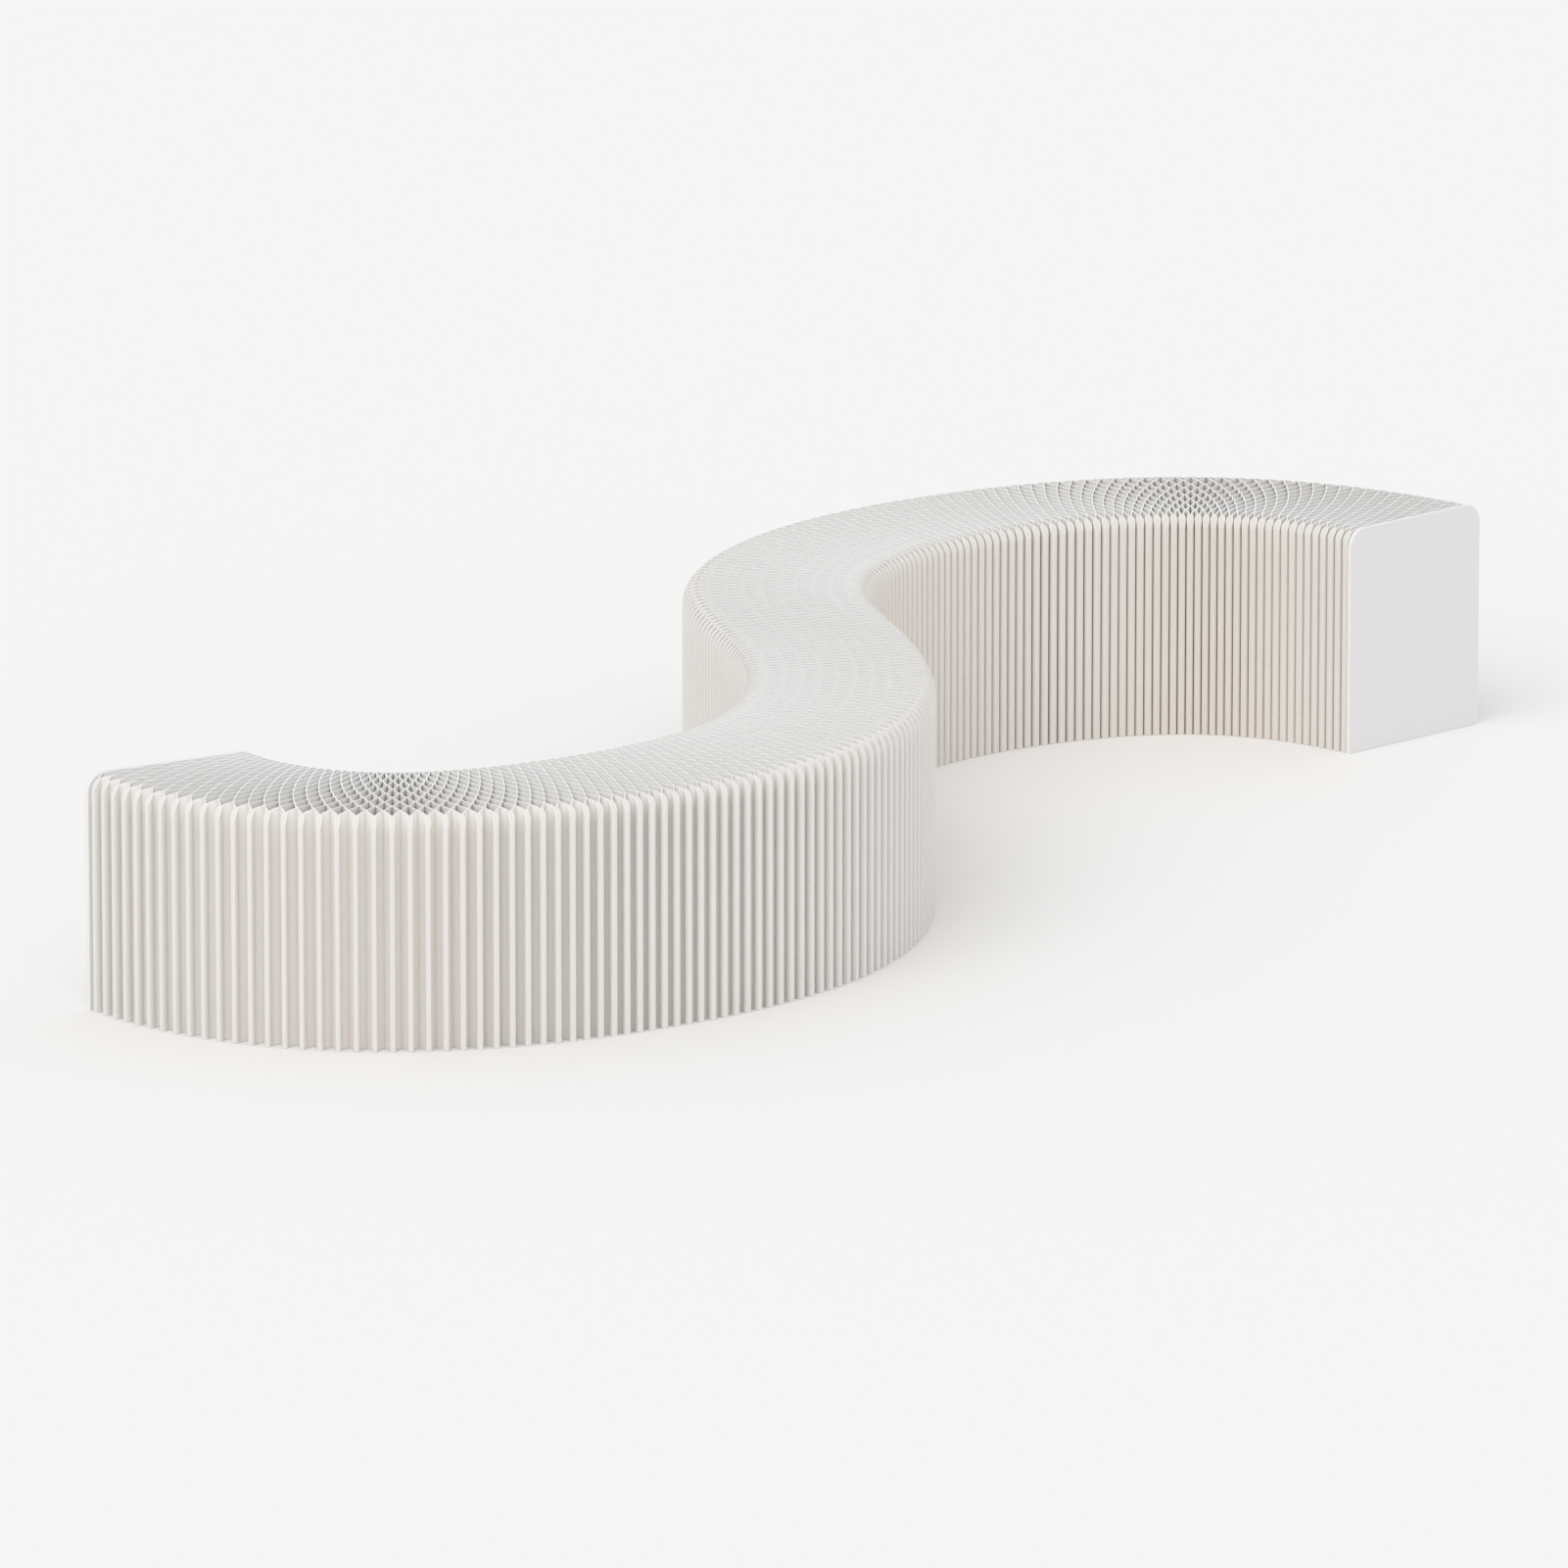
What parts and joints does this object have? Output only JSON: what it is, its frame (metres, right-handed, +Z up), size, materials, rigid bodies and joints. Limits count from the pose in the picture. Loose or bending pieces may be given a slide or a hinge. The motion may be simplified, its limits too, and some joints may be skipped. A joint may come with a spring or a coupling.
{
  "type": "pleated paper screen",
  "caption": "Low free-standing screen and bench of glued honeycomb paper, standing in an S curve, with rounded top edges and a flat board at each end; it bends and stretches.",
  "frame": {"origin": "middle of the plan's bounding box, on the floor", "axes": "+Z up, +X along the line between the two ends, from the left end to the right one, +Y away from the viewer of the picture"},
  "size_m": [3.3151, 1.5049, 0.42],
  "materials": {
    "paper": "matt, soft, slightly warm off-white",
    "core_board": "matt pale board edge",
    "facing": "matt, smooth, pale grey-white",
    "magnet": "plated"
  },
  "bodies": {
    "pack_01": {"sheet_pack_01": "paper"},
    "pack_02": {"sheet_pack_02": "paper"},
    "pack_03": {"sheet_pack_03": "paper"},
    "pack_04": {"sheet_pack_04": "paper"},
    "pack_05": {"sheet_pack_05": "paper"},
    "pack_06": {"sheet_pack_06": "paper"},
    "pack_07": {"sheet_pack_07": "paper"},
    "pack_08": {"sheet_pack_08": "paper"},
    "pack_09": {"sheet_pack_09": "paper"},
    "pack_10": {"sheet_pack_10": "paper"},
    "pack_11": {"sheet_pack_11": "paper"},
    "pack_12": {"sheet_pack_12": "paper"},
    "pack_13": {"sheet_pack_13": "paper"},
    "pack_14": {"sheet_pack_14": "paper"},
    "pack_15": {"sheet_pack_15": "paper"},
    "pack_16": {"sheet_pack_16": "paper"},
    "pack_17": {"sheet_pack_17": "paper"},
    "pack_18": {"sheet_pack_18": "paper"},
    "pack_19": {"sheet_pack_19": "paper"},
    "pack_20": {"sheet_pack_20": "paper"},
    "pack_21": {"sheet_pack_21": "paper"},
    "pack_22": {"sheet_pack_22": "paper"},
    "pack_23": {"sheet_pack_23": "paper"},
    "pack_24": {"sheet_pack_24": "paper"},
    "pack_25": {"sheet_pack_25": "paper"},
    "pack_26": {"sheet_pack_26": "paper"},
    "pack_27": {"sheet_pack_27": "paper"},
    "pack_28": {"sheet_pack_28": "paper"},
    "pack_29": {"sheet_pack_29": "paper"},
    "pack_30": {"sheet_pack_30": "paper"},
    "pack_31": {"sheet_pack_31": "paper"},
    "pack_32": {"sheet_pack_32": "paper"},
    "pack_33": {"sheet_pack_33": "paper"},
    "pack_34": {"sheet_pack_34": "paper"},
    "pack_35": {"sheet_pack_35": "paper"},
    "pack_36": {"sheet_pack_36": "paper"},
    "pack_37": {"sheet_pack_37": "paper"},
    "pack_38": {"sheet_pack_38": "paper"},
    "pack_39": {"sheet_pack_39": "paper"},
    "pack_40": {"sheet_pack_40": "paper"},
    "pack_41": {"sheet_pack_41": "paper"},
    "pack_42": {"sheet_pack_42": "paper"},
    "pack_43": {"sheet_pack_43": "paper"},
    "pack_44": {"sheet_pack_44": "paper"},
    "pack_45": {"sheet_pack_45": "paper"},
    "pack_46": {"sheet_pack_46": "paper"},
    "left_end": {"left_core_board": "core_board", "left_facing": "facing", "left_magnets": "magnet"},
    "right_end": {"right_core_board": "core_board", "right_facing": "facing", "right_magnets": "magnet"}
  },
  "joints": [
    {"name": "stretch", "type": "slide", "parent": "pack_25", "child": "pack_24", "axis": [-0.4689, -0.8832, 0], "range_m": [0, 0.035]},
    {"name": "stretch_right_of_middle", "type": "slide", "parent": "pack_25", "child": "pack_26", "axis": [0.4816, 0.8764, 0], "range_m": [0, 0.035]},
    {"name": "left_bend_1", "type": "hinge", "parent": "pack_24", "child": "pack_23", "pos_m": [0.16213, -0.09834, 0], "axis": [0, 0, 1], "range_deg": [0, 2.38]},
    {"name": "left_bend_1_at_line_176", "type": "hinge", "parent": "pack_23", "child": "pack_22", "pos_m": [0.11162, -0.18301, 0], "axis": [0, 0, 1], "range_deg": [0, 3.11]},
    {"name": "left_bend_1_at_line_168", "type": "hinge", "parent": "pack_22", "child": "pack_21", "pos_m": [0.05577, -0.26606, 0], "axis": [0, 0, 1], "range_deg": [0, 3.61]},
    {"name": "left_bend_1_at_line_160", "type": "hinge", "parent": "pack_21", "child": "pack_20", "pos_m": [-0.0061, -0.34661, 0], "axis": [0, 0, 1], "range_deg": [0, 4.1]},
    {"name": "left_bend_1_at_line_152", "type": "hinge", "parent": "pack_20", "child": "pack_19", "pos_m": [-0.07455, -0.42365, 0], "axis": [0, 0, 1], "range_deg": [0, 4.6]},
    {"name": "left_bend_2", "type": "hinge", "parent": "pack_19", "child": "pack_18", "pos_m": [-0.15002, -0.49599, 0], "axis": [0, 0, 1], "range_deg": [0, 5.08]},
    {"name": "left_bend_2_at_line_136", "type": "hinge", "parent": "pack_18", "child": "pack_17", "pos_m": [-0.23272, -0.56225, 0], "axis": [0, 0, 1], "range_deg": [0, 5.56]},
    {"name": "left_bend_2_at_line_128", "type": "hinge", "parent": "pack_17", "child": "pack_16", "pos_m": [-0.32262, -0.62098, 0], "axis": [0, 0, 1], "range_deg": [0, 6.03]},
    {"name": "left_bend_2_at_line_120", "type": "hinge", "parent": "pack_16", "child": "pack_15", "pos_m": [-0.41946, -0.67058, 0], "axis": [0, 0, 1], "range_deg": [0, 6.5]},
    {"name": "left_bend_2_at_line_112", "type": "hinge", "parent": "pack_15", "child": "pack_14", "pos_m": [-0.5226, -0.70941, 0], "axis": [0, 0, 1], "range_deg": [0, 6.92]},
    {"name": "left_bend_3", "type": "hinge", "parent": "pack_14", "child": "pack_13", "pos_m": [-0.62992, -0.73572, 0], "axis": [0, 0, 1], "range_deg": [0, 6.5]},
    {"name": "left_bend_3_at_line_96", "type": "hinge", "parent": "pack_13", "child": "pack_12", "pos_m": [-0.73749, -0.74945, 0], "axis": [0, 0, 1], "range_deg": [0, 5.79]},
    {"name": "left_bend_3_at_line_88", "type": "hinge", "parent": "pack_12", "child": "pack_11", "pos_m": [-0.84378, -0.75221, 0], "axis": [0, 0, 1], "range_deg": [0, 5.09]},
    {"name": "left_bend_3_at_line_80", "type": "hinge", "parent": "pack_11", "child": "pack_10", "pos_m": [-0.94777, -0.74568, 0], "axis": [0, 0, 1], "range_deg": [0, 4.38]},
    {"name": "left_bend_3_at_line_72", "type": "hinge", "parent": "pack_10", "child": "pack_09", "pos_m": [-1.04902, -0.7315, 0], "axis": [0, 0, 1], "range_deg": [0, 4.32]},
    {"name": "left_bend_4", "type": "hinge", "parent": "pack_09", "child": "pack_08", "pos_m": [-1.15205, -0.70881, 0], "axis": [0, 0, 1], "range_deg": [0, 6.13]},
    {"name": "left_bend_4_at_line_56", "type": "hinge", "parent": "pack_08", "child": "pack_07", "pos_m": [-1.25757, -0.67339, 0], "axis": [0, 0, 1], "range_deg": [0, 8.07]},
    {"name": "left_bend_4_at_line_48", "type": "hinge", "parent": "pack_07", "child": "pack_06", "pos_m": [-1.36223, -0.62092, 0], "axis": [0, 0, 1], "range_deg": [0, 10.01]},
    {"name": "left_bend_4_at_line_40", "type": "hinge", "parent": "pack_06", "child": "pack_05", "pos_m": [-1.46081, -0.54761, 0], "axis": [0, 0, 1], "range_deg": [0, 11.93]},
    {"name": "left_bend_5", "type": "hinge", "parent": "pack_05", "child": "pack_04", "pos_m": [-1.5452, -0.45237, 0], "axis": [0, 0, 1], "range_deg": [0, 12.36]},
    {"name": "left_bend_5_at_line_24", "type": "hinge", "parent": "pack_04", "child": "pack_03", "pos_m": [-1.60678, -0.34232, 0], "axis": [0, 0, 1], "range_deg": [0, 11.78]},
    {"name": "left_bend_5_at_line_16", "type": "hinge", "parent": "pack_03", "child": "pack_02", "pos_m": [-1.64409, -0.2237, 0], "axis": [0, 0, 1], "range_deg": [0, 11.19]},
    {"name": "left_bend_5_at_line_8", "type": "hinge", "parent": "pack_02", "child": "pack_01", "pos_m": [-1.65749, -0.10185, 0], "axis": [0, 0, 1], "range_deg": [0, 10.6]},
    {"name": "right_bend_1", "type": "hinge", "parent": "pack_26", "child": "pack_27", "pos_m": [-0.00387, 0.31383, 0], "axis": [0, 0, 1], "range_deg": [0, 4.27]},
    {"name": "right_bend_1_at_line_216", "type": "hinge", "parent": "pack_27", "child": "pack_28", "pos_m": [0.05625, 0.40144, 0], "axis": [0, 0, 1], "range_deg": [0, 6.56]},
    {"name": "right_bend_1_at_line_224", "type": "hinge", "parent": "pack_28", "child": "pack_29", "pos_m": [0.13002, 0.48635, 0], "axis": [0, 0, 1], "range_deg": [0, 7.79]},
    {"name": "right_bend_1_at_line_232", "type": "hinge", "parent": "pack_29", "child": "pack_30", "pos_m": [0.2148, 0.56093, 0], "axis": [0, 0, 1], "range_deg": [0, 7.48]},
    {"name": "right_bend_1_at_line_240", "type": "hinge", "parent": "pack_30", "child": "pack_31", "pos_m": [0.30774, 0.62329, 0], "axis": [0, 0, 1], "range_deg": [0, 7.15]},
    {"name": "right_bend_2", "type": "hinge", "parent": "pack_31", "child": "pack_32", "pos_m": [0.40682, 0.67318, 0], "axis": [0, 0, 1], "range_deg": [0, 6.81]},
    {"name": "right_bend_2_at_line_256", "type": "hinge", "parent": "pack_32", "child": "pack_33", "pos_m": [0.51019, 0.71062, 0], "axis": [0, 0, 1], "range_deg": [0, 6.49]},
    {"name": "right_bend_2_at_line_264", "type": "hinge", "parent": "pack_33", "child": "pack_34", "pos_m": [0.61621, 0.73594, 0], "axis": [0, 0, 1], "range_deg": [0, 6.19]},
    {"name": "right_bend_2_at_line_272", "type": "hinge", "parent": "pack_34", "child": "pack_35", "pos_m": [0.7235, 0.74957, 0], "axis": [0, 0, 1], "range_deg": [0, 5.91]},
    {"name": "right_bend_2_at_line_280", "type": "hinge", "parent": "pack_35", "child": "pack_36", "pos_m": [0.83077, 0.75208, 0], "axis": [0, 0, 1], "range_deg": [0, 5.62]},
    {"name": "right_bend_3", "type": "hinge", "parent": "pack_36", "child": "pack_37", "pos_m": [0.93693, 0.74413, 0], "axis": [0, 0, 1], "range_deg": [0, 5.34]},
    {"name": "right_bend_3_at_line_296", "type": "hinge", "parent": "pack_37", "child": "pack_38", "pos_m": [1.04114, 0.72647, 0], "axis": [0, 0, 1], "range_deg": [0, 5.46]},
    {"name": "right_bend_3_at_line_304", "type": "hinge", "parent": "pack_38", "child": "pack_39", "pos_m": [1.14554, 0.69819, 0], "axis": [0, 0, 1], "range_deg": [0, 6.73]},
    {"name": "right_bend_3_at_line_312", "type": "hinge", "parent": "pack_39", "child": "pack_40", "pos_m": [1.24966, 0.65637, 0], "axis": [0, 0, 1], "range_deg": [0, 8.08]},
    {"name": "right_bend_3_at_line_320", "type": "hinge", "parent": "pack_40", "child": "pack_41", "pos_m": [1.35034, 0.59833, 0], "axis": [0, 0, 1], "range_deg": [0, 9.42]},
    {"name": "right_bend_4", "type": "hinge", "parent": "pack_41", "child": "pack_42", "pos_m": [1.44328, 0.52204, 0], "axis": [0, 0, 1], "range_deg": [0, 10.75]},
    {"name": "right_bend_4_at_line_336", "type": "hinge", "parent": "pack_42", "child": "pack_43", "pos_m": [1.52218, 0.42796, 0], "axis": [0, 0, 1], "range_deg": [0, 10.5]},
    {"name": "right_bend_4_at_line_344", "type": "hinge", "parent": "pack_43", "child": "pack_44", "pos_m": [1.58106, 0.32405, 0], "axis": [0, 0, 1], "range_deg": [0, 9.15]},
    {"name": "right_bend_4_at_line_352", "type": "hinge", "parent": "pack_44", "child": "pack_45", "pos_m": [1.62126, 0.21587, 0], "axis": [0, 0, 1], "range_deg": [0, 7.81]},
    {"name": "right_bend_4_at_line_360", "type": "hinge", "parent": "pack_45", "child": "pack_46", "pos_m": [1.64552, 0.10715, 0], "axis": [0, 0, 1], "range_deg": [0, 6.46]},
    {"name": "left_end_stretch", "type": "slide", "parent": "pack_01", "child": "left_end", "axis": [0.1638, 0.9865, 0], "range_m": [0, 0.014]},
    {"name": "right_end_stretch", "type": "slide", "parent": "pack_46", "child": "right_end", "axis": [0.058, -0.9983, 0], "range_m": [0, 0.014]}
  ],
  "couplings": [
    {"joint": "stretch_right_of_middle", "follows": "stretch", "ratio": 1},
    {"joint": "left_bend_1_at_line_176", "follows": "left_bend_1", "ratio": 1.3046},
    {"joint": "left_bend_1_at_line_168", "follows": "left_bend_1", "ratio": 1.5131},
    {"joint": "left_bend_1_at_line_160", "follows": "left_bend_1", "ratio": 1.7216},
    {"joint": "left_bend_1_at_line_152", "follows": "left_bend_1", "ratio": 1.9301},
    {"joint": "left_bend_2_at_line_136", "follows": "left_bend_2", "ratio": 1.0931},
    {"joint": "left_bend_2_at_line_128", "follows": "left_bend_2", "ratio": 1.1861},
    {"joint": "left_bend_2_at_line_120", "follows": "left_bend_2", "ratio": 1.2792},
    {"joint": "left_bend_2_at_line_112", "follows": "left_bend_2", "ratio": 1.3617},
    {"joint": "left_bend_3_at_line_96", "follows": "left_bend_3", "ratio": 0.8906},
    {"joint": "left_bend_3_at_line_88", "follows": "left_bend_3", "ratio": 0.7816},
    {"joint": "left_bend_3_at_line_80", "follows": "left_bend_3", "ratio": 0.6725},
    {"joint": "left_bend_3_at_line_72", "follows": "left_bend_3", "ratio": 0.6632},
    {"joint": "left_bend_4_at_line_56", "follows": "left_bend_4", "ratio": 1.316},
    {"joint": "left_bend_4_at_line_48", "follows": "left_bend_4", "ratio": 1.6321},
    {"joint": "left_bend_4_at_line_40", "follows": "left_bend_4", "ratio": 1.9461},
    {"joint": "left_bend_5_at_line_24", "follows": "left_bend_5", "ratio": 0.9524},
    {"joint": "left_bend_5_at_line_16", "follows": "left_bend_5", "ratio": 0.9047},
    {"joint": "left_bend_5_at_line_8", "follows": "left_bend_5", "ratio": 0.8569},
    {"joint": "right_bend_1_at_line_216", "follows": "right_bend_1", "ratio": 1.5362},
    {"joint": "right_bend_1_at_line_224", "follows": "right_bend_1", "ratio": 1.8242},
    {"joint": "right_bend_1_at_line_232", "follows": "right_bend_1", "ratio": 1.7498},
    {"joint": "right_bend_1_at_line_240", "follows": "right_bend_1", "ratio": 1.6723},
    {"joint": "right_bend_2_at_line_256", "follows": "right_bend_2", "ratio": 0.9517},
    {"joint": "right_bend_2_at_line_264", "follows": "right_bend_2", "ratio": 0.9084},
    {"joint": "right_bend_2_at_line_272", "follows": "right_bend_2", "ratio": 0.8668},
    {"joint": "right_bend_2_at_line_280", "follows": "right_bend_2", "ratio": 0.8251},
    {"joint": "right_bend_3_at_line_296", "follows": "right_bend_3", "ratio": 1.0209},
    {"joint": "right_bend_3_at_line_304", "follows": "right_bend_3", "ratio": 1.2594},
    {"joint": "right_bend_3_at_line_312", "follows": "right_bend_3", "ratio": 1.5116},
    {"joint": "right_bend_3_at_line_320", "follows": "right_bend_3", "ratio": 1.7638},
    {"joint": "right_bend_4_at_line_336", "follows": "right_bend_4", "ratio": 0.9764},
    {"joint": "right_bend_4_at_line_344", "follows": "right_bend_4", "ratio": 0.8511},
    {"joint": "right_bend_4_at_line_352", "follows": "right_bend_4", "ratio": 0.7258},
    {"joint": "right_bend_4_at_line_360", "follows": "right_bend_4", "ratio": 0.6005},
    {"joint": "left_end_stretch", "follows": "stretch", "ratio": 0.4},
    {"joint": "right_end_stretch", "follows": "stretch", "ratio": 0.4}
  ]
}
